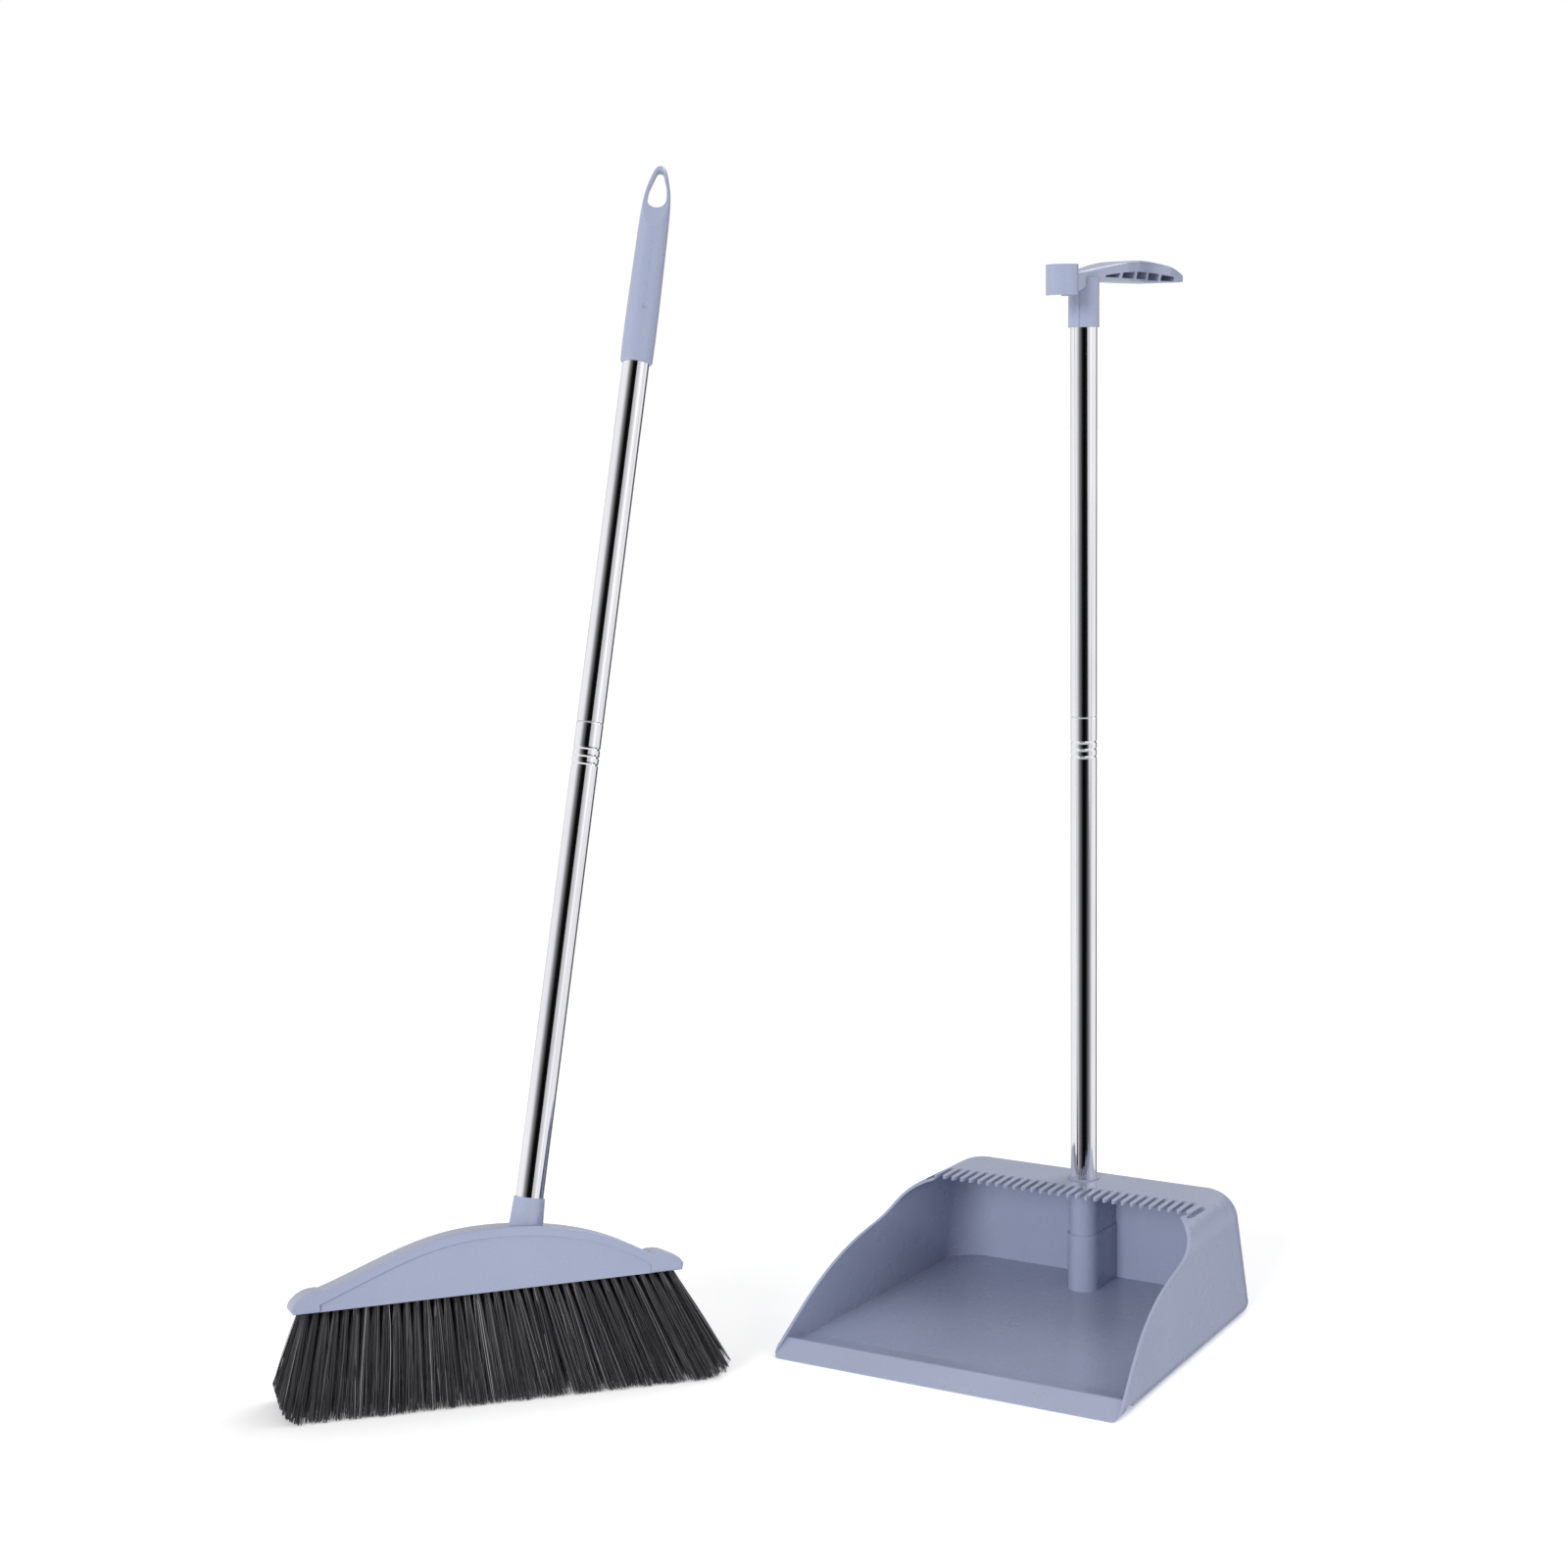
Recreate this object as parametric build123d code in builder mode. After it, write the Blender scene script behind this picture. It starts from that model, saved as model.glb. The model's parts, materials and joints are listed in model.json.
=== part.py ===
from build123d import *
import os
from math import cos, radians, sin

os.makedirs("parts", exist_ok=True)

# Long-handled dustpan and matching angled broom, in millimetres, +Z up.
# The origin is on the underside of the pan, on the axis of the pan's pole.
# The mouth of the pan faces -Y and its width runs along X.

# Steel poles
TUBE_R = 9.5
TUBE_WALL = 0.6
TUBE_BORE = TUBE_R - TUBE_WALL
RUNNING_GAP = 0.05
SEAM_GAP = 0.3
CRIMP_WIDTH = 2.2
CRIMP_DEPTH = 0.6
SEAM_BEVEL = 0.35
CRIMP_PITCH = 5.3
CRIMP_OFFSET = 18.0
CRIMP_COUNT = 3

# Pan
PAN_FRONT_Y = -230.5
PAN_REAR_Y = 36.0
PAN_FRONT_HALF = 131.5
PAN_REAR_HALF = 123.5
PAN_HEIGHT = 87.5
SIDE_LEAN = 0.14
PAN_WALL = 2.2
REAR_CORNER_R = 27.0
HOOD_EDGE_R = 22.0
FOOT_EDGE_R = 6.5
FLOOR_TOP = 3.6
LIP_CREST_Y = -213.8
LIP_CREST_Z = 9.8
COMB_Y = -44.0
COMB_Z = 87.0
SLOT_COUNT = 30
SLOT_PITCH = 7.15
SLOT_WIDTH = 3.5
SLOT_LENGTH = 15.0
BOSS_R = 10.9
BOSS_FOOT_R = 11.7
BOSS_FOOT_Z = 46.0
PAN_TUBE_LOW = 12.0
PAN_SEAM_Z = 428.6

# Dustpan handle
COLLAR_LOW = 704.6
COLLAR_HIGH = 739.0
COLLAR_R = 10.9
PAN_TUBE_HIGH = 734.0
CLIP_Y = -35.5
CLIP_R = 11.3
CLIP_BORE_R = 9.6
CLIP_LOW = 726.0
CLIP_HIGH = 747.0
CLIP_MOUTH_ANGLE = 160.0
CLIP_MOUTH_HALF = 42.0
GRIP_HALF_WIDTH = 12.0
POCKET_COUNT = 5

# Broom stance: the bristles rest on the floor in front and to the left of the pan
BROOM_X = -237.5
BROOM_Y = -390.0
BROOM_YAW = 46.8
BROOM_LEAN = 11.7
POLE_TILT = 11.2
HEAD_ROLL = 0.9

# Broom head, measured from the floor line up the head
HEAD_HALF_DEPTH = 17.0
HEAD_LOW = 73.0
HEAD_WALL = 2.5
POLE_FOOT_X = 23.8
POLE_FOOT_Z = 114.7
SOCKET_RIM = 17.7
SOCKET_RIM_R = 10.6
SOCKET_FOOT_R = 11.7
BROOM_TUBE_LOW = -12.0
BROOM_SEAM = 344.2
THREAD_LENGTH = 14.0
THREAD_R = 7.6

# Bristles
BLOCK_LOW = HEAD_LOW + 0.3
BLOCK_HIGH = BLOCK_LOW + 8.0
BLOCK_MARGIN = 3.0
TUFTS_PER_ROW = 38
ROW_COUNT = 5
ROW_PITCH = 6.3
ROW_FOOT_PITCH = 11.2
ROW_HALF = 1.8
ROW_FOOT_HALF = 5.4
TUFT_LEFT = -126.5
TUFT_RIGHT = 118.5
TUFT_R = 1.9
TUFT_HOLE_R = 2.0
TUFT_HOLE_DEPTH = 7.0
ROOT_DEPTH = 5.8

# Broom grip, measured along the pole
GRIP_LOW = 600.8
GRIP_TOP = 745.0
GRIP_BORE_END = 684.0
LOOP_HALF_DEPTH = 4.2
GRIP_TWIST = -15.8


def tilted_plane(origin, yaw, lean):
    """Plane whose normal leans back from +Z and whose X axis is turned by yaw."""
    turn, back = radians(yaw), radians(lean)
    return Plane(
        origin=origin,
        x_dir=(cos(turn), sin(turn), 0),
        z_dir=(-sin(turn) * sin(back), cos(turn) * sin(back), cos(back)),
    )


def upright_plane(frame):
    """Plane through the frame's X and Z axes, with the frame's Y into the page."""
    return Plane(origin=frame.origin, x_dir=frame.x_dir, z_dir=-frame.y_dir)


def side_plane(frame):
    """Plane through the frame's Y and Z axes."""
    return Plane(origin=frame.origin, x_dir=frame.y_dir, z_dir=frame.x_dir)


FLOOR_LINE = tilted_plane((BROOM_X, BROOM_Y, 0), BROOM_YAW, BROOM_LEAN)
BRISTLE_HALF_DEPTH = ROW_FOOT_PITCH * (ROW_COUNT - 1) / 2 + ROW_FOOT_HALF
STANCE = Plane(
    origin=FLOOR_LINE.from_local_coords((0, BRISTLE_HALF_DEPTH, 0)),
    x_dir=FLOOR_LINE.x_dir,
    z_dir=FLOOR_LINE.z_dir,
)
HEAD = Plane(
    origin=STANCE.origin,
    x_dir=STANCE.x_dir * cos(radians(HEAD_ROLL)) + STANCE.z_dir * sin(radians(HEAD_ROLL)),
    z_dir=STANCE.z_dir * cos(radians(HEAD_ROLL)) - STANCE.x_dir * sin(radians(HEAD_ROLL)),
)
POLE = Plane(
    origin=STANCE.from_local_coords((POLE_FOOT_X, 0, POLE_FOOT_Z)),
    x_dir=STANCE.x_dir * cos(radians(POLE_TILT)) - STANCE.z_dir * sin(radians(POLE_TILT)),
    z_dir=STANCE.x_dir * sin(radians(POLE_TILT)) + STANCE.z_dir * cos(radians(POLE_TILT)),
)
GRIP = Plane(
    origin=POLE.origin,
    x_dir=POLE.x_dir * cos(radians(GRIP_TWIST)) + POLE.y_dir * sin(radians(GRIP_TWIST)),
    z_dir=POLE.z_dir,
)


def save(builder, label):
    """Label the finished piece and write it to its own file."""
    builder.part.label = label
    export_step(builder.part, f"parts/{label}.step")


def crimp_heights(seam):
    """Heights of the rolled rings that hold the connector in the lower tube."""
    return [seam - CRIMP_OFFSET - CRIMP_PITCH * ring for ring in range(CRIMP_COUNT)]


def make_tube(frame, low, high, seam, crimps=()):
    """Thin steel tube, bevelled at the seam, with rings rolled inwards at the given heights."""
    with BuildPart() as tube:
        with BuildSketch(frame.offset(low)):
            Circle(TUBE_R)
            Circle(TUBE_BORE, mode=Mode.SUBTRACT)
        extrude(amount=high - low)
        for height in crimps:
            bead_width = CRIMP_WIDTH + 2 * TUBE_WALL
            with BuildSketch(frame.offset(height - bead_width / 2)):
                Circle(TUBE_R - TUBE_WALL / 2)
                Circle(TUBE_BORE - CRIMP_DEPTH, mode=Mode.SUBTRACT)
            extrude(amount=bead_width)
        for height, depth in [(seam, SEAM_BEVEL)] + [(crimp, CRIMP_DEPTH) for crimp in crimps]:
            half = CRIMP_WIDTH / 2 if depth == CRIMP_DEPTH else SEAM_BEVEL + SEAM_GAP / 2
            with BuildSketch(upright_plane(frame)):
                with BuildLine():
                    Polyline(
                        (TUBE_R + 0.5, height - half),
                        (TUBE_R, height - half),
                        (TUBE_R - depth, height),
                        (TUBE_R, height + half),
                        (TUBE_R + 0.5, height + half),
                        close=True,
                    )
                make_face()
            revolve(axis=Axis(frame.origin, frame.z_dir), mode=Mode.SUBTRACT)
    return tube


def make_connector(frame, seam):
    """Hollow plastic sleeve crimped in the lower tube, on which the upper tube turns."""
    below, above, bore = 38.0, 28.0, 6.0
    ring_clearance = 0.2
    with BuildPart() as connector:
        with BuildSketch(frame.offset(seam - below)):
            Circle(TUBE_BORE - RUNNING_GAP)
            Circle(bore, mode=Mode.SUBTRACT)
        extrude(amount=below + above)
        for height in crimp_heights(seam):
            width = CRIMP_WIDTH + 2 * TUBE_WALL + 2 * ring_clearance
            with BuildSketch(frame.offset(height - width / 2)):
                Circle(TUBE_R)
                Circle(TUBE_BORE - CRIMP_DEPTH - ring_clearance, mode=Mode.SUBTRACT)
            extrude(amount=width, mode=Mode.SUBTRACT)
    return connector


# ---------------------------------------------------------------- pan moulding


def pan_block(inset, height, edge_radius, foot_radius=0):
    """Tapered block with leaning walls and rounded edges, drawn in by inset."""
    extra_front = 20.0 if inset else 0.0
    taper = (PAN_FRONT_HALF - PAN_REAR_HALF) / (PAN_REAR_Y - PAN_FRONT_Y)
    with BuildPart() as block:
        for level in (0.0, height):
            lean = SIDE_LEAN * level
            front = PAN_FRONT_HALF - inset - lean + taper * extra_front
            rear = PAN_REAR_HALF - inset - lean
            front_y = PAN_FRONT_Y - extra_front
            rear_y = PAN_REAR_Y - inset
            with BuildSketch(Plane.XY.offset(level)):
                with BuildLine():
                    Polyline(
                        (-front, front_y), (front, front_y), (rear, rear_y), (-rear, rear_y), close=True
                    )
                make_face()
        loft()
        tall_edges = block.edges().filter_by(lambda e: e.bounding_box().size.Z > height / 2)
        fillet(tall_edges.group_by(Axis.Y)[-1], REAR_CORNER_R - inset)
        if edge_radius:
            rim = block.faces().sort_by(Axis.Z)[-1].edges()
            fillet(rim.sort_by(Axis.Y)[1:], edge_radius)
        if foot_radius:
            foot = block.faces().sort_by(Axis.Z)[0].edges()
            fillet(foot.sort_by(Axis.Y)[1:], foot_radius)
    return block.part


def side_slab(draw_outline):
    """Slab across the full width whose side outline is the drawn one."""
    with BuildPart() as slab:
        with BuildSketch(Plane.YZ):
            with BuildLine():
                draw_outline()
            make_face()
        extrude(amount=PAN_FRONT_HALF + 5, both=True)
    return slab.part


NOSE_START = (COMB_Y + 24, PAN_HEIGHT)
COMB_TIP = (COMB_Y, COMB_Z)
HOOD_INNER_Z = PAN_HEIGHT - PAN_WALL
INNER_TIP = (COMB_Y - 0.1, COMB_Z - PAN_WALL)
BACK = PAN_REAR_Y + 5


def outer_outline():
    """Drooping front of the hood, then the swept edge of the side walls."""
    Polyline((PAN_FRONT_Y, 0.8), (PAN_FRONT_Y, -1), (BACK, -1), (BACK, PAN_HEIGHT), NOSE_START)
    TangentArc(NOSE_START, COMB_TIP, tangent=(-1, 0))
    edge_top = (COMB_Y, COMB_Z - PAN_WALL)
    Line(COMB_TIP, edge_top)
    Spline(edge_top, (-63, 82), (-80, 72), (-118, 62), (-150, 53), (-177, 40), (-208, 18), (PAN_FRONT_Y, 0.8))


def under_hood_outline():
    """Space below the hood, behind the comb."""
    nose_start = (COMB_Y + 22, HOOD_INNER_Z)
    Polyline(INNER_TIP, (INNER_TIP[0], -1), (BACK, -1), (BACK, HOOD_INNER_Z), nose_start)
    TangentArc(nose_start, INNER_TIP, tangent=(-1, 0))


def open_front_outline():
    """Space in front of the comb, open to the sky."""
    low, high = -1, PAN_HEIGHT + 20
    Polyline((COMB_Y, low), (COMB_Y, high), (PAN_FRONT_Y - 25, high), (PAN_FRONT_Y - 25, low), close=True)


def floor_outline():
    """Floor with a ramped lip at its front edge."""
    Polyline(
        (PAN_FRONT_Y, 0),
        (PAN_FRONT_Y, 0.8),
        (LIP_CREST_Y, LIP_CREST_Z),
        (LIP_CREST_Y + 2, LIP_CREST_Z),
        (LIP_CREST_Y + 11, 5.0),
        (LIP_CREST_Y + 28, FLOOR_TOP),
        (BACK, FLOOR_TOP),
        (BACK, 0),
        close=True,
    )


def lip_hollow_outline():
    """Hollow below the ramped lip."""
    Polyline(
        (PAN_FRONT_Y + 4, -1),
        (PAN_FRONT_Y + 4, 0),
        (LIP_CREST_Y + 1, LIP_CREST_Z - 2.8),
        (LIP_CREST_Y + 11, 2.4),
        (LIP_CREST_Y + 48, 0),
        (LIP_CREST_Y + 48, -1),
        close=True,
    )


with BuildPart() as under_hood:
    add(pan_block(PAN_WALL, HOOD_INNER_Z, HOOD_EDGE_R - PAN_WALL))
    add(side_slab(under_hood_outline), mode=Mode.INTERSECT)

with BuildPart() as open_front:
    add(pan_block(PAN_WALL, HOOD_INNER_Z, HOOD_EDGE_R - PAN_WALL))
    add(side_slab(open_front_outline), mode=Mode.INTERSECT)

with BuildPart() as pan_floor:
    add(pan_block(0.05, PAN_HEIGHT, 0, FOOT_EDGE_R - 0.05))
    add(side_slab(floor_outline), mode=Mode.INTERSECT)

# Pole boss, a round front with flat flanks running back to the rear wall
with BuildPart() as pan_boss:
    for radius, top in ((BOSS_R, PAN_HEIGHT - 1), (BOSS_FOOT_R, BOSS_FOOT_Z)):
        reach = PAN_REAR_Y - 0.7 * PAN_WALL
        with BuildSketch(Plane.XY.offset(FLOOR_TOP - 1)):
            Circle(radius)
            with Locations((0, reach / 2)):
                Rectangle(2 * radius, reach)
        extrude(amount=top - FLOOR_TOP + 1)
    add(pan_block(1, PAN_HEIGHT - 1, HOOD_EDGE_R - 1), mode=Mode.INTERSECT)

with BuildPart() as pan_shell:
    add(pan_block(0, PAN_HEIGHT, HOOD_EDGE_R, FOOT_EDGE_R))
    add(side_slab(outer_outline), mode=Mode.INTERSECT)
    add(under_hood.part, mode=Mode.SUBTRACT)
    add(open_front.part, mode=Mode.SUBTRACT)
    add(pan_boss.part)
    add(pan_floor.part)
    add(side_slab(lip_hollow_outline), mode=Mode.SUBTRACT)
    # Bore for the pole, with a low ring round it on the hood
    with BuildSketch(Plane.XY.offset(PAN_HEIGHT - PAN_WALL)):
        Circle(TUBE_R + 2)
    extrude(amount=PAN_WALL + 1)
    with BuildSketch(Plane.XY.offset(PAN_TUBE_LOW - 2.2)):
        Circle(TUBE_R + RUNNING_GAP)
    extrude(amount=PAN_HEIGHT, mode=Mode.SUBTRACT)
    # Comb slots, flared at the mouth so that each tooth has a narrowed tip
    with BuildSketch(Plane.XY.offset(COMB_Z - 20)):
        for slot in range(SLOT_COUNT):
            x = (slot - (SLOT_COUNT - 1) / 2) * SLOT_PITCH
            with Locations((x, COMB_Y + SLOT_LENGTH / 2)):
                SlotOverall(2 * SLOT_LENGTH, SLOT_WIDTH, rotation=90)
            with BuildLine():
                Polyline(
                    (x - SLOT_WIDTH / 2, COMB_Y + 2.2),
                    (x - SLOT_WIDTH / 2 - 1.2, COMB_Y - 0.5),
                    (x + SLOT_WIDTH / 2 + 1.2, COMB_Y - 0.5),
                    (x + SLOT_WIDTH / 2, COMB_Y + 2.2),
                    close=True,
                )
            make_face()
    extrude(amount=30, mode=Mode.SUBTRACT)
save(pan_shell, "pan_shell")

# ------------------------------------------------------------ pole of the dustpan

pan_lower_tube = make_tube(Plane.XY, PAN_TUBE_LOW, PAN_SEAM_Z, PAN_SEAM_Z, crimp_heights(PAN_SEAM_Z))
save(pan_lower_tube, "pan_lower_tube")

pan_upper_tube = make_tube(Plane.XY, PAN_SEAM_Z + SEAM_GAP, PAN_TUBE_HIGH, PAN_SEAM_Z)
save(pan_upper_tube, "pan_upper_tube")

pan_pole_connector = make_connector(Plane.XY, PAN_SEAM_Z)
save(pan_pole_connector, "pan_pole_connector")

# Plastic foot that closes the lower end of the pole inside the boss
with BuildPart() as pan_pole_foot:
    with BuildSketch(Plane.XY.offset(PAN_TUBE_LOW - 2.0)):
        Circle(TUBE_R)
    extrude(amount=1.9)
    with BuildSketch(Plane.XY.offset(PAN_TUBE_LOW - 0.1)):
        Circle(TUBE_BORE - RUNNING_GAP)
    extrude(amount=22)
    with BuildSketch(Plane.XY.offset(PAN_TUBE_LOW + 2)):
        Circle(TUBE_BORE - 2)
    extrude(amount=22, mode=Mode.SUBTRACT)
save(pan_pole_foot, "pan_pole_foot")

# ---------------------------------------------------------------- dustpan handle

GRIP_TIP_Y = 157.0
GRIP_UNDER_Z = 738.2


def blade_outline():
    """Arched top and nearly level underside of the hand grip, seen from the side."""
    root_top, root_low = (CLIP_Y + CLIP_R - 2, 742.0), (CLIP_Y + CLIP_R - 2, CLIP_LOW + 1)
    tip_low = (GRIP_TIP_Y - 4, 740.6)
    Spline(root_top, (19, 748), (50, 751.8), (88, 753.6), (119, 752.2), (140, 749.2), (GRIP_TIP_Y, 743.4))
    Line((GRIP_TIP_Y, 743.4), tip_low)
    Spline(tip_low, (124, 739), (88, 738.2), (50, 737.8), (COLLAR_R + 1, 736.6))
    Polyline((COLLAR_R + 1, 736.6), (0, 735), root_low, root_top)


def pocket_outline(start, end):
    """Recess in the side of the grip, between the arched top and the lower rim."""

    def roof(y):
        return 745.4 - 0.0009 * (y - 85) ** 2

    low = GRIP_UNDER_Z + 1.6 + 0.02 * max(0, (start + end) / 2 - 110)
    Polyline((start, low), (start + 2, roof(start)), (end + 2, roof(end)), (end, low), close=True)


with BuildPart() as pan_handle:
    with BuildSketch(Plane.YZ):
        with BuildLine():
            blade_outline()
        make_face()
    extrude(amount=GRIP_HALF_WIDTH, both=True)
    # Plan shape: narrow at the clip, widest under the palm, rounded at the tip
    with BuildSketch(Plane.XY.offset(CLIP_LOW - 5)):
        with BuildLine():
            right = Spline(
                (4.5, CLIP_Y), (5.5, -14), (9.5, 20), (GRIP_HALF_WIDTH, 70), (11, 120), (0, GRIP_TIP_Y - 0.2),
                tangents=[(0, 1), (-1, 0)],
            )
            mirror(right, about=Plane.YZ)
            Line((4.5, CLIP_Y), (-4.5, CLIP_Y))
        make_face()
    extrude(amount=40, mode=Mode.INTERSECT)
    long_edges = pan_handle.edges().filter_by(lambda e: e.length > 20 and abs(e.center().X) > 1)
    fillet(long_edges.filter_by(lambda e: e.center().Z > 744), 2.4)
    # Ribbed recesses under the arched top, on both sides of a thin middle web
    for pocket in range(POCKET_COUNT):
        start = 16 + 24 * pocket
        for side in (1, -1):
            with BuildSketch(Plane.YZ.offset(side * 2.0)):
                with BuildLine():
                    pocket_outline(start, start + 20)
                make_face()
            extrude(amount=side * GRIP_HALF_WIDTH, mode=Mode.SUBTRACT)
    # Collar over the top of the pole, with a raised seam rib down its front
    with BuildSketch(Plane.XY.offset(COLLAR_LOW)):
        Circle(COLLAR_R)
        with Locations((0, -COLLAR_R)):
            Rectangle(3.0, 1.6)
    extrude(amount=COLLAR_HIGH - COLLAR_LOW)
    # Clip that takes the pole of the broom
    with BuildSketch(Plane.XY.offset(CLIP_LOW)):
        with Locations((0, CLIP_Y)):
            Circle(CLIP_R)
    extrude(amount=CLIP_HIGH - CLIP_LOW)
    with BuildSketch(Plane.XY.offset(CLIP_LOW - 5)):
        with Locations((0, CLIP_Y)):
            Circle(CLIP_BORE_R)
            mouth_reach = 2 * CLIP_R
            mouth_edges = [
                (
                    mouth_reach * cos(radians(CLIP_MOUTH_ANGLE + turn)),
                    mouth_reach * sin(radians(CLIP_MOUTH_ANGLE + turn)),
                )
                for turn in (-CLIP_MOUTH_HALF, CLIP_MOUTH_HALF)
            ]
            Polygon((0, 0), *mouth_edges, align=None)
    extrude(amount=CLIP_HIGH - CLIP_LOW + 10, mode=Mode.SUBTRACT)
    with BuildSketch(Plane.XY.offset(COLLAR_LOW - 1)):
        Circle(TUBE_R + RUNNING_GAP)
    extrude(amount=PAN_TUBE_HIGH + 0.3 - COLLAR_LOW + 1, mode=Mode.SUBTRACT)
save(pan_handle, "pan_handle")

# ---------------------------------------------------------------- pole of the broom

broom_lower_tube = make_tube(POLE, BROOM_TUBE_LOW, BROOM_SEAM, BROOM_SEAM, crimp_heights(BROOM_SEAM))
save(broom_lower_tube, "broom_lower_tube")

broom_upper_tube = make_tube(POLE, BROOM_SEAM + SEAM_GAP, GRIP_BORE_END - 2, BROOM_SEAM)
save(broom_upper_tube, "broom_upper_tube")

broom_pole_connector = make_connector(POLE, BROOM_SEAM)
save(broom_pole_connector, "broom_pole_connector")

# Threaded plug in the lower end of the pole, which screws into the head
with BuildPart() as broom_thread_plug:
    with BuildSketch(POLE.offset(BROOM_TUBE_LOW + 22)):
        Circle(TUBE_BORE - RUNNING_GAP)
    extrude(amount=-22)
    with BuildSketch(POLE.offset(BROOM_TUBE_LOW)):
        Circle(TUBE_R)
    extrude(amount=-2)
    with BuildSketch(POLE.offset(BROOM_TUBE_LOW - 2)):
        Circle(THREAD_R - 0.8)
    extrude(amount=-THREAD_LENGTH)
    for turn in range(4):
        with BuildSketch(POLE.offset(BROOM_TUBE_LOW - 5 - 2.8 * turn)):
            Circle(THREAD_R)
        extrude(amount=-1.3)
save(broom_thread_plug, "broom_thread_plug")

# ---------------------------------------------------------------- broom head

HEAD_FACE = upright_plane(HEAD)


def head_outline():
    """Low arch between two rounded end knobs, seen from the front."""
    Polyline((-135.5, HEAD_LOW), (-137, 75.5), (-135.6, 78.6))
    left_knob = ThreePointArc((-135.6, 78.6), (-126.5, 85.2), (-115.5, 86.2))
    arch = Spline(left_knob @ 1, (-77, 99.8), (-34, 112.4), (-5, 115.2), (33, 112.8), (75, 102.5), (106, 86.2))
    right_knob = ThreePointArc(arch @ 1, (117, 86.4), (126.6, 80.6))
    Polyline(right_knob @ 1, (128.6, 77.5), (127.4, HEAD_LOW), (-135.5, HEAD_LOW))


with BuildSketch() as head_profile:
    with BuildLine():
        head_outline()
    make_face()

PANEL_DEPTH = 1.4
with BuildSketch() as panel_profile:
    with BuildLine():
        Spline((-118, 78), (-76, 93.8), (-34, 106.1), (-5, 108.9), (33, 106.5), (74, 96.4), (106, 79))
        Polyline((106, 79), (106, HEAD_LOW - 1), (-118, HEAD_LOW - 1), (-118, 78))
    make_face()

with BuildSketch() as cavity_profile:
    with BuildLine():
        left_x, right_x = TUFT_LEFT - BLOCK_MARGIN - 1.2, TUFT_RIGHT + BLOCK_MARGIN + 1.2
        Polyline((-116, 83), (left_x, 81.6), (left_x, HEAD_LOW - 1), (right_x, HEAD_LOW - 1), (right_x, 81.6))
        Polyline((right_x, 81.6), (112, 83.4), (103, 84.4))
        Spline((103, 84.4), (74, 100.2), (33, 110.4), (-5, 112.8), (-34, 110), (-76, 97.2), (-116, 83))
    make_face()


def on_plane(sketch, plane):
    """The sketch's faces moved from the XY plane onto another plane."""
    return [plane.location * face for face in sketch.faces()]


with BuildPart() as broom_head_shell:
    extrude(on_plane(head_profile.sketch, HEAD_FACE), amount=HEAD_HALF_DEPTH, both=True)
    extrude(
        on_plane(cavity_profile.sketch, HEAD_FACE),
        amount=HEAD_HALF_DEPTH - HEAD_WALL,
        both=True,
        mode=Mode.SUBTRACT,
    )
    in_depth = broom_head_shell.faces().sort_by(Axis(HEAD.origin, HEAD.y_dir))
    fillet([in_depth[0].edges(), in_depth[-1].edges()], 2.0)
    for side in (1, -1):
        panel_plane = HEAD_FACE.offset(side * (HEAD_HALF_DEPTH - PANEL_DEPTH))
        extrude(on_plane(panel_profile.sketch, panel_plane), amount=side * 5, mode=Mode.SUBTRACT)
    # Socket: a tapered sleeve outside and a boss down to the bristle block inside
    with BuildSketch(POLE.offset(SOCKET_RIM)):
        Circle(SOCKET_RIM_R)
    with BuildSketch(POLE.offset(-3)):
        Circle(SOCKET_FOOT_R)
    loft()
    with BuildSketch(POLE.offset(-2.5)):
        Circle(SOCKET_FOOT_R - 0.2)
    extrude(amount=-27)
    with BuildSketch(POLE.offset(BROOM_TUBE_LOW - 2.1)):
        Circle(TUBE_R + RUNNING_GAP)
    extrude(amount=50, mode=Mode.SUBTRACT)
    with BuildSketch(POLE.offset(BROOM_TUBE_LOW)):
        Circle(THREAD_R + RUNNING_GAP)
    extrude(amount=-2 - THREAD_LENGTH - 0.2, mode=Mode.SUBTRACT)
save(broom_head_shell, "broom_head_shell")

# ---------------------------------------------------------------- bristles

TUFT_STEP = (TUFT_RIGHT - TUFT_LEFT) / (TUFTS_PER_ROW - 1)
ROWS = [row - (ROW_COUNT - 1) / 2 for row in range(ROW_COUNT)]
BLOCK_DEPTH = 2 * (HEAD_HALF_DEPTH - HEAD_WALL) - 0.2
tuft_spots = [
    (TUFT_LEFT + TUFT_STEP * tuft, ROW_PITCH * row) for row in ROWS for tuft in range(TUFTS_PER_ROW)
]

with BuildPart() as bristle_block:
    with BuildSketch(HEAD.offset(BLOCK_LOW)):
        with Locations(((TUFT_LEFT + TUFT_RIGHT) / 2, 0)):
            RectangleRounded(TUFT_RIGHT - TUFT_LEFT + 2 * BLOCK_MARGIN, BLOCK_DEPTH, 2)
    extrude(amount=BLOCK_HIGH - BLOCK_LOW)
    with BuildSketch(HEAD.offset(BLOCK_LOW)):
        with Locations(*tuft_spots):
            Circle(TUFT_HOLE_R)
    extrude(amount=TUFT_HOLE_DEPTH, mode=Mode.SUBTRACT)
save(bristle_block, "bristle_block")

BELOW_FLOOR = -15.0


def fan_outline():
    """Bristles spread along the head and rounded at both lower corners."""
    root_z = BLOCK_LOW - 0.3
    Line((-129, root_z), (-153.6, 14))
    TangentArc((-153.6, 14), (-147, 3), tangent=(-24.6, -root_z + 14))
    Polyline((-147, 3), (-143, BELOW_FLOOR), (146, BELOW_FLOOR), (149, 3))
    TangentArc((149, 3), (154, 14), tangent=(5, 2))
    Polyline((154, 14), (121, root_z), (-129, root_z))


with BuildSketch() as fan_profile:
    with BuildLine():
        fan_outline()
    make_face()

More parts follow.
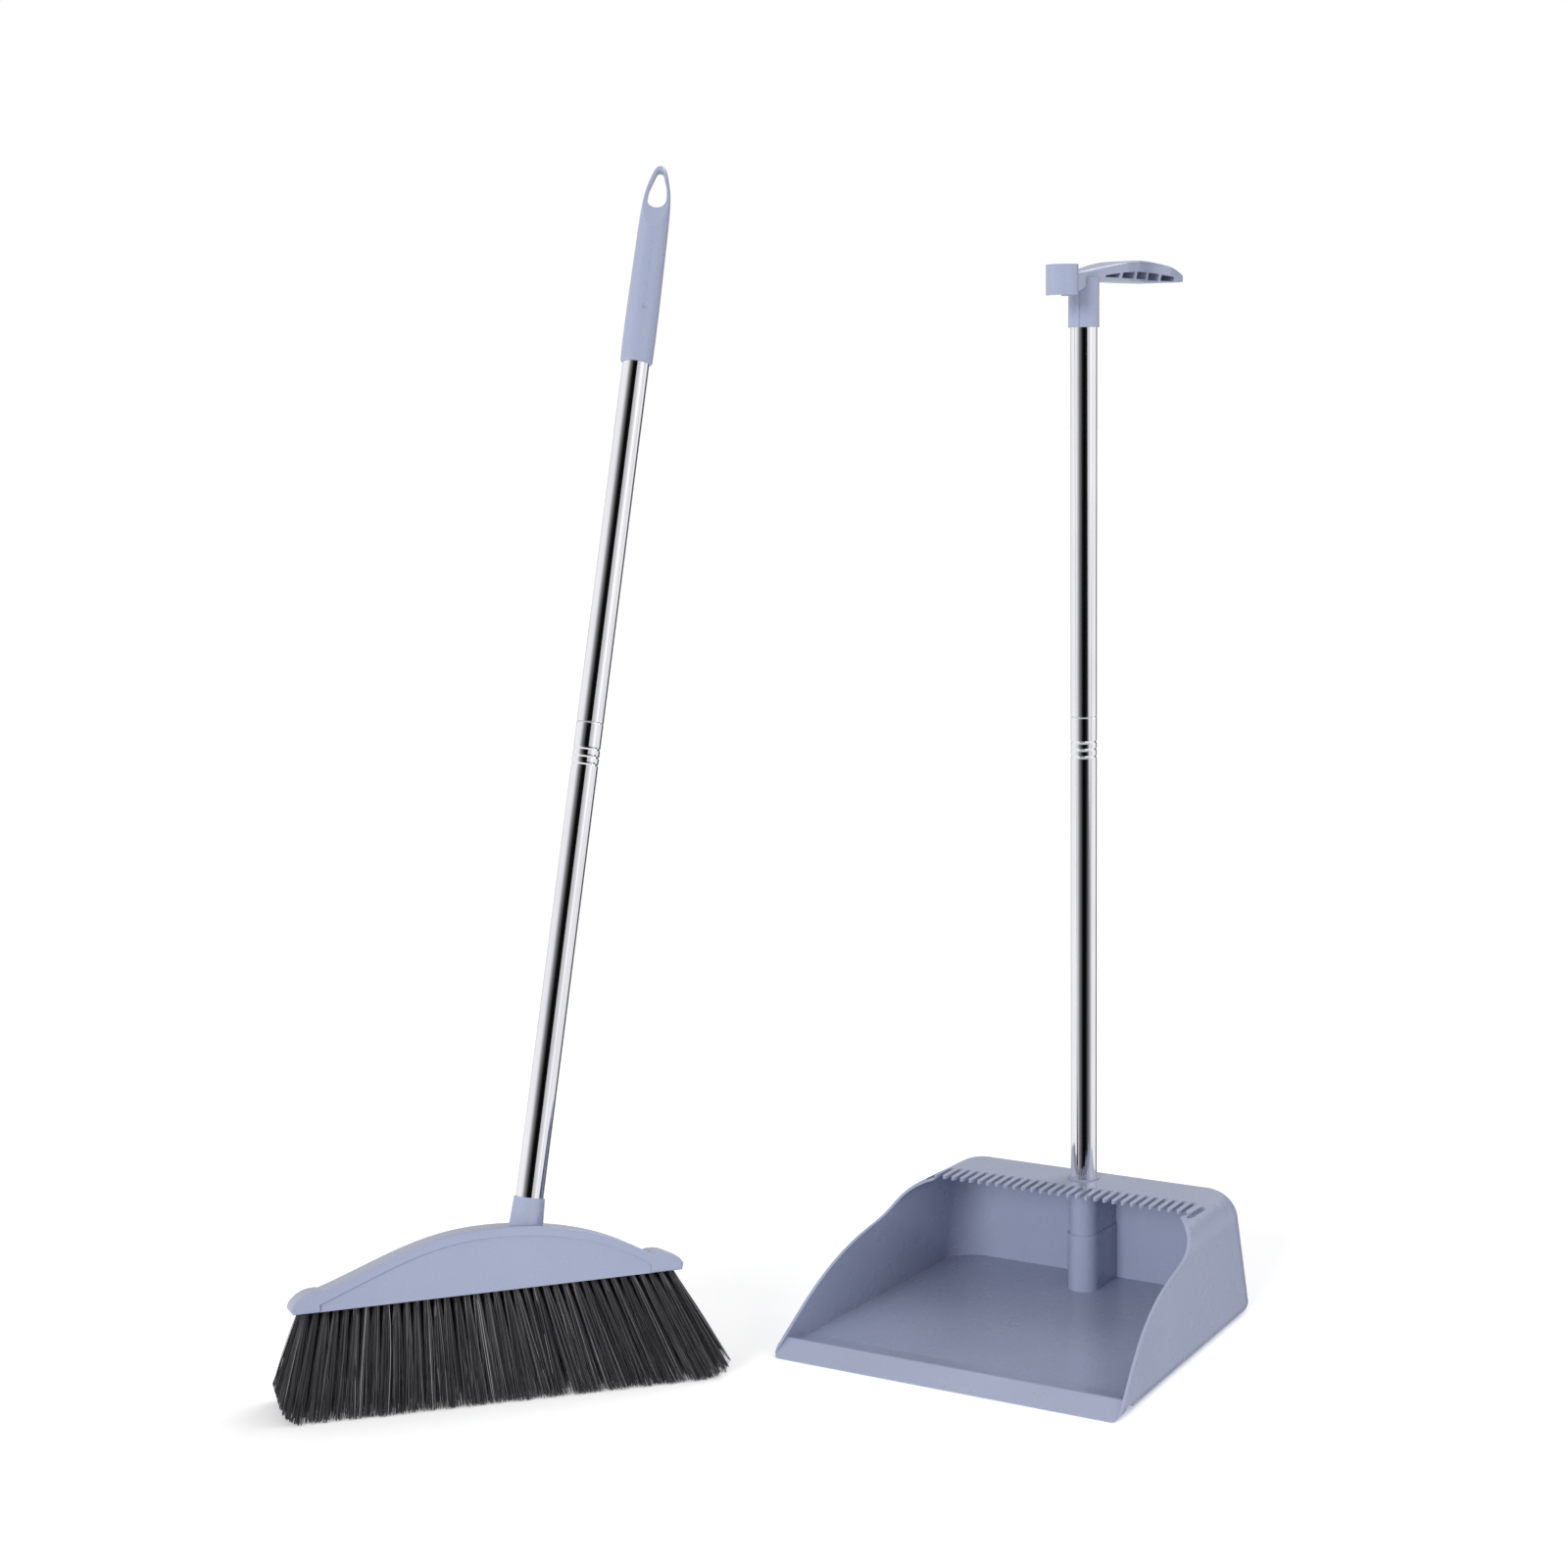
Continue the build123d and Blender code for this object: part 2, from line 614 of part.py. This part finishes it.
for index, row in enumerate(ROWS):
    with BuildPart() as bristle_row:
        extrude(on_plane(fan_profile.sketch, HEAD_FACE), amount=HEAD_HALF_DEPTH * 3, both=True)
        slope = (ROW_FOOT_PITCH - ROW_PITCH) * row / BLOCK_LOW
        spread = (ROW_FOOT_HALF - ROW_HALF) / BLOCK_LOW
        levels = (BLOCK_LOW, BELOW_FLOOR - 1)
        front, back = [
            [
                (ROW_PITCH * row + slope * (BLOCK_LOW - z) + side * (ROW_HALF + spread * (BLOCK_LOW - z)), z)
                for z in levels
            ]
            for side in (-1, 1)
        ]
        with BuildSketch(side_plane(HEAD)):
            with BuildLine():
                Polyline(*front, *reversed(back), close=True)
            make_face()
        extrude(amount=200, both=True, mode=Mode.INTERSECT)
        split(bisect_by=Plane.XY, keep=Keep.TOP)
        with BuildSketch(HEAD.offset(BLOCK_LOW - 1)):
            with Locations(*[spot for spot in tuft_spots if spot[1] == ROW_PITCH * row]):
                Circle(TUFT_R)
        extrude(amount=ROOT_DEPTH + 1)
    save(bristle_row, f"bristle_row_{index + 1}")

# ---------------------------------------------------------------- broom grip

with BuildPart() as broom_grip:
    with BuildSketch(upright_plane(GRIP)):
        with BuildLine():
            foot = CenterArc((9.2, GRIP_LOW + 2.2), 2.2, 270, 90)
            Line((0, GRIP_LOW), foot @ 0)
            Spline(
                foot @ 1, (11.4, 650), (10.9, 686), (10.4, 709), (9, 725), (6, 737), (0, GRIP_TOP),
                tangents=[(0.02, 1), (-1, 0)],
            )
            Line((0, GRIP_TOP), (0, GRIP_LOW))
        make_face()
    revolve(axis=Axis(GRIP.origin, GRIP.z_dir))
    # Flats either side of the hanging loop, and the loop's teardrop hole
    for side in (1, -1):
        with BuildSketch(side_plane(GRIP).offset(-20)):
            with BuildLine():
                Polyline(
                    (side * LOOP_HALF_DEPTH, GRIP_TOP + 5),
                    (side * LOOP_HALF_DEPTH, 717),
                    (side * 12, 694),
                    (side * 20, GRIP_TOP + 5),
                    close=True,
                )
            make_face()
        extrude(amount=40, mode=Mode.SUBTRACT)
    with BuildSketch(upright_plane(GRIP)):
        with BuildLine():
            low = CenterArc((0, 720), 6.9, 180, 180)
            Spline(low @ 1, (6, 728), (3, 737.3), (0, 740.4), tangents=[(0, 1), (-1, 0)])
            Spline((0, 740.4), (-3, 737.3), (-6, 728), low @ 0, tangents=[(-1, 0), (0, -1)])
        make_face()
    extrude(amount=20, both=True, mode=Mode.SUBTRACT)
    with BuildSketch(GRIP.offset(GRIP_LOW - 1)):
        Circle(TUBE_R + RUNNING_GAP)
    extrude(amount=GRIP_BORE_END - GRIP_LOW + 1, mode=Mode.SUBTRACT)
    # Row of shallow finger dimples along the front
    for dimple in range(5):
        centre = GRIP.from_local_coords((2.2, -12.9, 640 + 15.5 * dimple))
        with Locations(centre):
            Sphere(2.6, mode=Mode.SUBTRACT)
save(broom_grip, "broom_grip")
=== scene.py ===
"""Long-handled dustpan and angled broom, dressed for a studio picture."""

import json
import math
import random

import bpy
from mathutils import Matrix, Vector


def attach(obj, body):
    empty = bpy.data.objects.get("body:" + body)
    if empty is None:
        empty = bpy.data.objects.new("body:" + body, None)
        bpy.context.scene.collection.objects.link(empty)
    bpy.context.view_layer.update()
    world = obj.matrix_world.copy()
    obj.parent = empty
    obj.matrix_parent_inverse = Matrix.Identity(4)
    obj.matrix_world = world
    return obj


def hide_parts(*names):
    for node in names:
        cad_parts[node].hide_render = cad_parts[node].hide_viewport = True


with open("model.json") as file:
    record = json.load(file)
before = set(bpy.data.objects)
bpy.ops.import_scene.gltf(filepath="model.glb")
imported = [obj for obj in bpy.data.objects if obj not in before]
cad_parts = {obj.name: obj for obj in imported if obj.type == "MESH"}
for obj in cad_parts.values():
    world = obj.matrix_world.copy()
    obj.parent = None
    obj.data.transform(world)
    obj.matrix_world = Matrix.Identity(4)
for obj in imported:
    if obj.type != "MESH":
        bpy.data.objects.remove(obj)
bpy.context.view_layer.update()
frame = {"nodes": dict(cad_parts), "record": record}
nodes = frame["nodes"]
MM = 0.001

# ---------------------------------------------------------------- node helpers


def new_material(name):
    """Empty node material with a Principled surface; returns material, tree, shader."""
    material = bpy.data.materials.new(name)
    material.use_nodes = True
    tree = material.node_tree
    shader = tree.nodes["Principled BSDF"]
    return material, tree, shader


def add_node(tree, kind, inputs=None, **settings):
    """One shader node with its settings and its unlinked input values."""
    node = tree.nodes.new(kind)
    for key, value in settings.items():
        setattr(node, key, value)
    for key, value in (inputs or {}).items():
        node.inputs[key].default_value = value
    return node


def object_noise(tree, scale, detail=4.0, roughness=0.5, stretch=(1, 1, 1)):
    """Noise in object space, stretched along chosen axes; returns its value socket."""
    coords = add_node(tree, "ShaderNodeTexCoord")
    mapping = add_node(tree, "ShaderNodeMapping", {"Scale": stretch})
    noise = add_node(
        tree, "ShaderNodeTexNoise", {"Scale": scale, "Detail": detail, "Roughness": roughness}
    )
    tree.links.new(coords.outputs["Object"], mapping.inputs["Vector"])
    tree.links.new(mapping.outputs["Vector"], noise.inputs["Vector"])
    return noise.outputs["Fac"]


def ramp(tree, source, stops):
    """Colour ramp over a value; stops are (position, colour)."""
    node = add_node(tree, "ShaderNodeValToRGB")
    elements = node.color_ramp.elements
    while len(elements) < len(stops):
        elements.new(0.5)
    for element, (position, colour) in zip(elements, stops):
        element.position = position
        element.color = (*colour, 1.0)
    tree.links.new(source, node.inputs["Fac"])
    return node.outputs["Color"]


def value_range(tree, source, low, high):
    """The source value, 0 to 1, spread over low to high."""
    node = add_node(tree, "ShaderNodeMapRange", {"To Min": low, "To Max": high})
    tree.links.new(source, node.inputs["Value"])
    return node.outputs["Result"]


def bump(tree, source, strength, distance, below=None):
    """Bump from a height value, over an earlier bump if one is given."""
    node = add_node(tree, "ShaderNodeBump", {"Strength": strength, "Distance": distance})
    tree.links.new(source, node.inputs["Height"])
    if below is not None:
        tree.links.new(below, node.inputs["Normal"])
    return node.outputs["Normal"]


# ---------------------------------------------------------------- materials


def moulded_plastic(name, dark, light):
    """Satin polypropylene: faint flow marks, fine grain, slight unevenness of gloss."""
    material, tree, shader = new_material(name)
    flow = object_noise(tree, 9.0, detail=3.0, stretch=(1.0, 1.0, 0.45))
    colour = ramp(tree, flow, [(0.3, dark), (0.7, light)])
    tree.links.new(colour, shader.inputs["Base Color"])
    patches = object_noise(tree, 38.0, detail=5.0)
    tree.links.new(value_range(tree, patches, 0.25, 0.30), shader.inputs["Roughness"])
    sink = bump(tree, object_noise(tree, 24.0, detail=2.0), 0.02, 0.001)
    grain = bump(tree, object_noise(tree, 2600.0, detail=2.0), 0.08, 0.0002, below=sink)
    tree.links.new(grain, shader.inputs["Normal"])
    shader.inputs["IOR"].default_value = 1.49
    shader.inputs["Coat Weight"].default_value = 0.25
    shader.inputs["Coat Roughness"].default_value = 0.16
    return material


def bright_steel(name):
    """Thin chromed tube with a faint drawn grain along its length."""
    material, tree, shader = new_material(name)
    tint = object_noise(tree, 14.0, detail=3.0)
    colour = ramp(tree, tint, [(0.3, (0.80, 0.80, 0.83)), (0.7, (0.88, 0.88, 0.90))])
    tree.links.new(colour, shader.inputs["Base Color"])
    grain = object_noise(tree, 900.0, detail=3.0, stretch=(1.0, 1.0, 0.012))
    tree.links.new(value_range(tree, grain, 0.04, 0.12), shader.inputs["Roughness"])
    tree.links.new(bump(tree, grain, 0.02, 0.0001), shader.inputs["Normal"])
    shader.inputs["Metallic"].default_value = 1.0
    return material


def filament(name):
    """Charcoal bristle: each strand its own grey, a few of them pale."""
    material, tree, shader = new_material(name)
    geometry = add_node(tree, "ShaderNodeNewGeometry")
    colour = ramp(
        tree,
        geometry.outputs["Random Per Island"],
        [
            (0.0, (0.026, 0.025, 0.030)),
            (0.45, (0.050, 0.048, 0.054)),
            (0.86, (0.105, 0.102, 0.112)),
            (0.97, (0.22, 0.215, 0.22)),
            (1.0, (0.48, 0.47, 0.48)),
        ],
    )
    tree.links.new(colour, shader.inputs["Base Color"])
    dust = object_noise(tree, 300.0, detail=3.0)
    tree.links.new(value_range(tree, dust, 0.34, 0.55), shader.inputs["Roughness"])
    return material


PLASTIC = moulded_plastic("blue_grey_plastic", (0.300, 0.335, 0.470), (0.330, 0.365, 0.500))
INSERT = moulded_plastic("insert_plastic", (0.20, 0.22, 0.30), (0.25, 0.27, 0.36))
STEEL = bright_steel("bright_steel")
BRISTLE = filament("charcoal_bristle")

FINISHES = {
    "pan_plastic": PLASTIC,
    "insert_plastic": INSERT,
    "tube_steel": STEEL,
    "bristle": BRISTLE,
}
for part in frame["record"]["subparts"]:
    data = nodes[part["node"]].data
    data.materials.clear()
    data.materials.append(FINISHES[part["material_slot"]])

# ---------------------------------------------------------------- bristles

# The broom's stance and the roots of its tufts, as in the CAD model
BROOM_FOOT = Vector((-237.5, -390.0, 0.0)) * MM
BROOM_YAW = math.radians(46.8)
BROOM_LEAN = math.radians(11.7)
HEAD_ROLL = math.radians(0.9)
BRISTLE_HALF_DEPTH = 27.8 * MM
BLOCK_LOW = 73.3 * MM
TUFT_LEFT, TUFT_RIGHT = -126.5 * MM, 118.5 * MM
TUFTS_PER_ROW = 38
ROW_PITCH, ROW_FOOT_PITCH = 6.3 * MM, 11.2 * MM
ROW_COUNT = 5

# The fan of fine strands that is shown in place of the CAD rows
FAN_LEFT, FAN_RIGHT = -149.5 * MM, 153.5 * MM
FAN_MARGIN = 3.4 * MM  # from the fan's edge to the middle of the outer tufts' feet
FAN_EDGE_GAP = 0.4 * MM
DEPTH_EDGE_GAP = 0.5 * MM
CORNER_RADIUS = 14.0 * MM
STRANDS_PER_TUFT = 80
STRAND_RADIUS = 0.27 * MM
STRAND_RINGS = 6
TIP_TAPER = 0.35
ROOT_RADIUS = 1.75 * MM
ROOT_DEPTH = 2 * MM
FLOOR_GAP = 0.35 * MM

# Spread of each tuft's foot, then random differences between tufts and between strands
FOOT_SPREAD_X = (4.2, 6.0)
FOOT_SPREAD_Y = 4.6 * MM
TUFT_LEAN_X, TUFT_LEAN_Y = 1.0 * MM, 0.8 * MM
STRAND_DRIFT_X, STRAND_DRIFT_Y = 0.9 * MM, 0.6 * MM
STRAND_SWAY_X, STRAND_SWAY_Y = 0.9 * MM, 0.7 * MM
TIP_DRIFT_Z = 0.5 * MM
THICKNESS_RANGE = (0.85, 1.2)
SEED = 7

HEAD = (
    Matrix.Translation(BROOM_FOOT)
    @ Matrix.Rotation(BROOM_YAW, 4, "Z")
    @ Matrix.Rotation(-BROOM_LEAN, 4, "X")
    @ Matrix.Translation((0, BRISTLE_HALF_DEPTH, 0))
    @ Matrix.Rotation(-HEAD_ROLL, 4, "Y")
)
FLOOR_SLOPE = math.tan(BROOM_LEAN)
FLOOR_ROLL = math.tan(HEAD_ROLL)


def floor_height(x, y):
    """Height in the head's frame where a bristle ends: the floor, with rounded fan corners."""
    base = (y + BRISTLE_HALF_DEPTH) * FLOOR_SLOPE - x * FLOOR_ROLL
    side = max(x - (FAN_RIGHT - CORNER_RADIUS), (FAN_LEFT + CORNER_RADIUS) - x, 0.0) / CORNER_RADIUS
    return base + CORNER_RADIUS * (1 - math.sqrt(max(0.0, 1 - min(side, 1.0) ** 2)))


def add_strand(verts, faces, root, foot, sway, radius):
    """Three-sided strand from root to foot, bowed sideways by sway and thinner at its tip."""
    first = len(verts)
    along = (foot - root).normalized()
    side = along.orthogonal().normalized()
    other = along.cross(side)
    for ring in range(STRAND_RINGS):
        t = ring / (STRAND_RINGS - 1)
        centre = root.lerp(foot, t) + sway * math.sin(math.pi * 0.5 * t) * (1 - t) * 2
        width = radius * (1.0 - TIP_TAPER * t)
        for corner in range(3):
            angle = corner * math.tau / 3
            verts.append(centre + (side * math.cos(angle) + other * math.sin(angle)) * width)
    for ring in range(STRAND_RINGS - 1):
        for corner in range(3):
            a = first + 3 * ring + corner
            b = first + 3 * ring + (corner + 1) % 3
            faces.append((a, b, b + 3, a + 3))
    last = first + 3 * (STRAND_RINGS - 1)
    faces.append((first + 2, first + 1, first))
    faces.append((last, last + 1, last + 2))


def bristle_row(index, rng):
    """All the tufts of one row, fanning out from their holes to the floor."""
    verts, faces = [], []
    row = index - (ROW_COUNT - 1) / 2
    for tuft in range(TUFTS_PER_ROW):
        share = tuft / (TUFTS_PER_ROW - 1)
        root_x = TUFT_LEFT + (TUFT_RIGHT - TUFT_LEFT) * share
        foot_x = FAN_LEFT + FAN_MARGIN + (FAN_RIGHT - FAN_LEFT - 2 * FAN_MARGIN) * share
        lean_x = rng.gauss(0, TUFT_LEAN_X)
        lean_y = rng.gauss(0, TUFT_LEAN_Y)
        spread_x = rng.uniform(*FOOT_SPREAD_X) * MM
        for _ in range(STRANDS_PER_TUFT):
            angle = rng.uniform(0, math.tau)
            reach = math.sqrt(rng.random())
            dx, dy = reach * math.cos(angle), reach * math.sin(angle)
            root_y = ROW_PITCH * row + dy * ROOT_RADIUS
            root = Vector((root_x + dx * ROOT_RADIUS, root_y, BLOCK_LOW + ROOT_DEPTH))
            x = foot_x + lean_x + dx * spread_x + rng.gauss(0, STRAND_DRIFT_X)
            x = min(max(x, FAN_LEFT + FAN_EDGE_GAP), FAN_RIGHT - FAN_EDGE_GAP)
            y = ROW_FOOT_PITCH * row + lean_y + dy * FOOT_SPREAD_Y + rng.gauss(0, STRAND_DRIFT_Y)
            y = min(max(y, -BRISTLE_HALF_DEPTH + DEPTH_EDGE_GAP), BRISTLE_HALF_DEPTH - DEPTH_EDGE_GAP)
            z = floor_height(x, y) + FLOOR_GAP + abs(rng.gauss(0, TIP_DRIFT_Z))
            sway = Vector((rng.gauss(0, STRAND_SWAY_X), rng.gauss(0, STRAND_SWAY_Y), 0))
            radius = STRAND_RADIUS * rng.uniform(*THICKNESS_RANGE)
            add_strand(verts, faces, root, Vector((x, y, z)), sway, radius)
    mesh = bpy.data.meshes.new(f"tufts_row_{index + 1}")
    mesh.from_pydata([HEAD @ v for v in verts], [], faces)
    mesh.validate()
    mesh.polygons.foreach_set("use_smooth", [True] * len(mesh.polygons))
    mesh.materials.append(BRISTLE)
    tufts = bpy.data.objects.new(f"tufts_row_{index + 1}", mesh)
    bpy.context.scene.collection.objects.link(tufts)
    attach(tufts, "broom_head")
    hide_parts(f"bristle_row_{index + 1}")


random_source = random.Random(SEED)
for row_index in range(ROW_COUNT):
    bristle_row(row_index, random_source)

# ---------------------------------------------------------------- studio

FLOOR_HALF_SIZE = 60.0
FLOOR_GLOW = 0.27
ROOM_STRENGTH = 0.46


def studio_floor():
    """Large pale floor with a faint glow, left out of reflections."""
    size = FLOOR_HALF_SIZE
    mesh = bpy.data.meshes.new("studio_floor")
    corners = [(-size, -size, 0), (size, -size, 0), (size, size, 0), (-size, size, 0)]
    mesh.from_pydata([Vector(c) for c in corners], [], [(0, 1, 2, 3)])
    floor = bpy.data.objects.new("studio_floor", mesh)
    bpy.context.scene.collection.objects.link(floor)
    material, tree, shader = new_material("studio_floor")
    tint = object_noise(tree, 1.5)
    colour = ramp(tree, tint, [(0.3, (0.93, 0.93, 0.93)), (0.7, (0.95, 0.95, 0.95))])
    tree.links.new(colour, shader.inputs["Base Color"])
    shader.inputs["Roughness"].default_value = 0.9
    shader.inputs["Specular IOR Level"].default_value = 0.1
    shader.inputs["Emission Color"].default_value = (1.0, 1.0, 1.0, 1.0)
    shader.inputs["Emission Strength"].default_value = FLOOR_GLOW
    floor.visible_glossy = False
    mesh.materials.append(material)


def soft_sun(name, source, strength, spread, mirrored=True):
    """Distant softbox with soft shadows; mirrored says whether it shows in reflections."""
    data = bpy.data.lights.new(name, "SUN")
    data.energy = strength
    data.angle = math.radians(spread)
    light = bpy.data.objects.new(name, data)
    light.visible_glossy = mirrored
    light.rotation_euler = (-Vector(source)).to_track_quat("-Z", "Y").to_euler()
    bpy.context.scene.collection.objects.link(light)


CAMERA_PLACE = Vector((0.8183, -1.7789, 0.652))
CAMERA_TURN = math.radians(31.04)
CAMERA_PITCH = math.radians(7.87)
CAMERA_ROLL = math.radians(-0.87)
SENSOR_WIDTH = 36.0
FOCAL_LENGTH = 62.55675  # millimetres, like the sensor's width


def studio_world():
    """White room; reflections see grey cards round it and a dark side behind the camera."""
    world = bpy.data.worlds.new("studio_world")
    bpy.context.scene.world = world
    world.use_nodes = True
    tree = world.node_tree
    tree.nodes.clear()
    coords = add_node(tree, "ShaderNodeTexCoord")
    turn = add_node(tree, "ShaderNodeMapping", vector_type="POINT")
    turn.inputs["Rotation"].default_value = (0, 0, -CAMERA_TURN)
    split = add_node(tree, "ShaderNodeSeparateXYZ")
    tree.links.new(coords.outputs["Generated"], turn.inputs["Vector"])
    tree.links.new(turn.outputs["Vector"], split.inputs["Vector"])
    angle = add_node(tree, "ShaderNodeMath", operation="ARCTAN2")
    tree.links.new(split.outputs["X"], angle.inputs[0])
    tree.links.new(split.outputs["Y"], angle.inputs[1])
    share = add_node(
        tree, "ShaderNodeMapRange", {"From Min": -math.pi, "From Max": math.pi, "To Min": 0.0, "To Max": 1.0}
    )
    tree.links.new(angle.outputs["Value"], share.inputs["Value"])
    # 0 and 1 lie behind the camera, 0.5 straight ahead of it
    grey = [
        (0.0, 0.0), (0.05, 0.01), (0.12, 0.22), (0.2, 0.95), (0.32, 1.0),
        (0.4, 0.85), (0.46, 0.6), (0.56, 0.6), (0.6, 0.06), (0.645, 0.06),
        (0.67, 1.0), (0.8, 0.95), (0.88, 0.22), (0.95, 0.01), (1.0, 0.0),
    ]
    card = ramp(tree, share.outputs["Result"], [(p, (v, v, v * 1.02)) for p, v in grey])
    high = add_node(tree, "ShaderNodeMath", operation="ABSOLUTE")
    tree.links.new(split.outputs["Z"], high.inputs[0])
    lift = ramp(tree, high.outputs["Value"], [(0.62, (0, 0, 0)), (0.85, (1, 1, 1))])
    room = add_node(tree, "ShaderNodeMix", data_type="RGBA", blend_type="SCREEN")
    # The colour inputs of a Mix node are sockets 6 and 7, its colour result is output 2
    room.inputs[0].default_value = 1.0
    tree.links.new(card, room.inputs[6])
    tree.links.new(lift, room.inputs[7])
    path = add_node(tree, "ShaderNodeLightPath")
    diffuse = add_node(tree, "ShaderNodeBackground", {"Color": (1, 1, 1, 1), "Strength": ROOM_STRENGTH})
    white = add_node(tree, "ShaderNodeBackground", {"Color": (1, 1, 1, 1), "Strength": 1.0})
    mirror = add_node(tree, "ShaderNodeBackground", {"Strength": 1.0})
    tree.links.new(room.outputs[2], mirror.inputs["Color"])
    glossy = add_node(tree, "ShaderNodeMixShader")
    tree.links.new(path.outputs["Is Glossy Ray"], glossy.inputs["Fac"])
    tree.links.new(diffuse.outputs["Background"], glossy.inputs[1])
    tree.links.new(mirror.outputs["Background"], glossy.inputs[2])
    final = add_node(tree, "ShaderNodeMixShader")
    tree.links.new(path.outputs["Is Camera Ray"], final.inputs["Fac"])
    tree.links.new(glossy.outputs["Shader"], final.inputs[1])
    tree.links.new(white.outputs["Background"], final.inputs[2])
    out = add_node(tree, "ShaderNodeOutputWorld")
    tree.links.new(final.outputs["Shader"], out.inputs["Surface"])


def studio_camera():
    """Camera at the height of the poles' upper half, looking slightly down."""
    data = bpy.data.cameras.new("camera")
    data.sensor_width = SENSOR_WIDTH
    data.lens = FOCAL_LENGTH
    camera = bpy.data.objects.new("camera", data)
    turn = Matrix.Rotation(CAMERA_TURN, 3, "Z")
    pitch = Matrix.Rotation(math.pi / 2 - CAMERA_PITCH, 3, "X")
    roll = Matrix.Rotation(CAMERA_ROLL, 3, "Z")
    camera.rotation_euler = (turn @ pitch @ roll).to_euler()
    camera.location = CAMERA_PLACE
    bpy.context.scene.collection.objects.link(camera)
    bpy.context.scene.camera = camera


studio_floor()
soft_sun("key", (0.0, -1.0, 0.3), 1.85, 22, mirrored=False)
soft_sun("top", (0.3, 0.9, 1.0), 1.15, 40)
soft_sun("side", (1.0, -0.25, 0.3), 0.3, 50)
studio_world()
studio_camera()
bpy.context.scene.view_settings.view_transform = "Standard"
